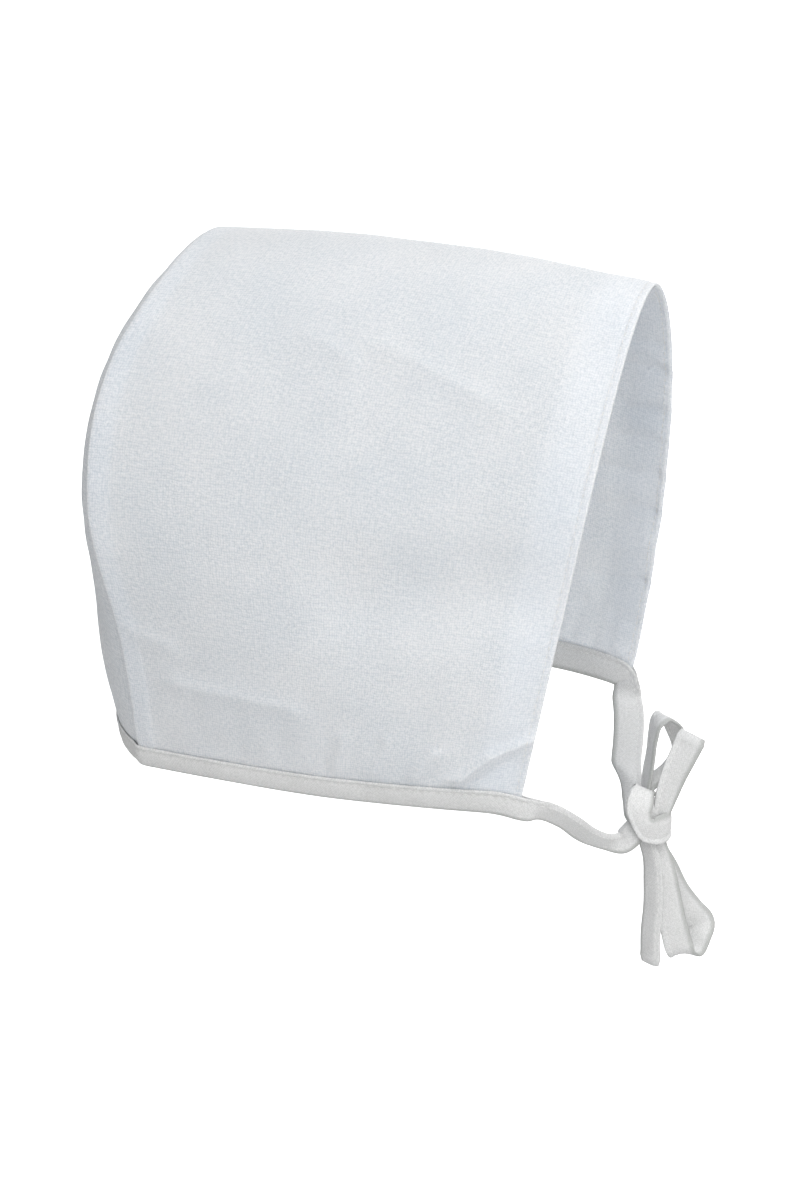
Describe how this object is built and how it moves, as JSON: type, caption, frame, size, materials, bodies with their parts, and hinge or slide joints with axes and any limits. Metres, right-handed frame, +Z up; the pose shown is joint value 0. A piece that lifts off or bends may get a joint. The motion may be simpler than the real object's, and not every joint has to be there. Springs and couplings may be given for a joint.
{
  "type": "baby bonnet",
  "caption": "White woven cotton baby bonnet with a pointed crown, turned front hem, bound neck edge and flat ties in a bow under the chin.",
  "frame": {"origin": "where the bonnet sits on a head: the inner face of the crown halfway along its ridge, on the centre plane", "axes": "+Z up, +X out of the face opening, +Y to the wearer's left"},
  "size_m": [0.1909, 0.1326, 0.2248],
  "materials": {
    "body_cloth": "matte",
    "hem_cloth": "matte",
    "panel_cloth": "matte",
    "binding_tape": "matte",
    "tie_tape": "matte"
  },
  "bodies": {
    "root": {"crown": "body_cloth", "front_hem": "hem_cloth", "back_panel": "panel_cloth", "neck_binding": "binding_tape", "right_tie": "tie_tape", "left_tie": "tie_tape", "bow_knot": "tie_tape", "upper_loop": "tie_tape", "upper_end": "tie_tape", "lower_end": "tie_tape", "lower_loop": "tie_tape"}
  },
  "joints": []
}
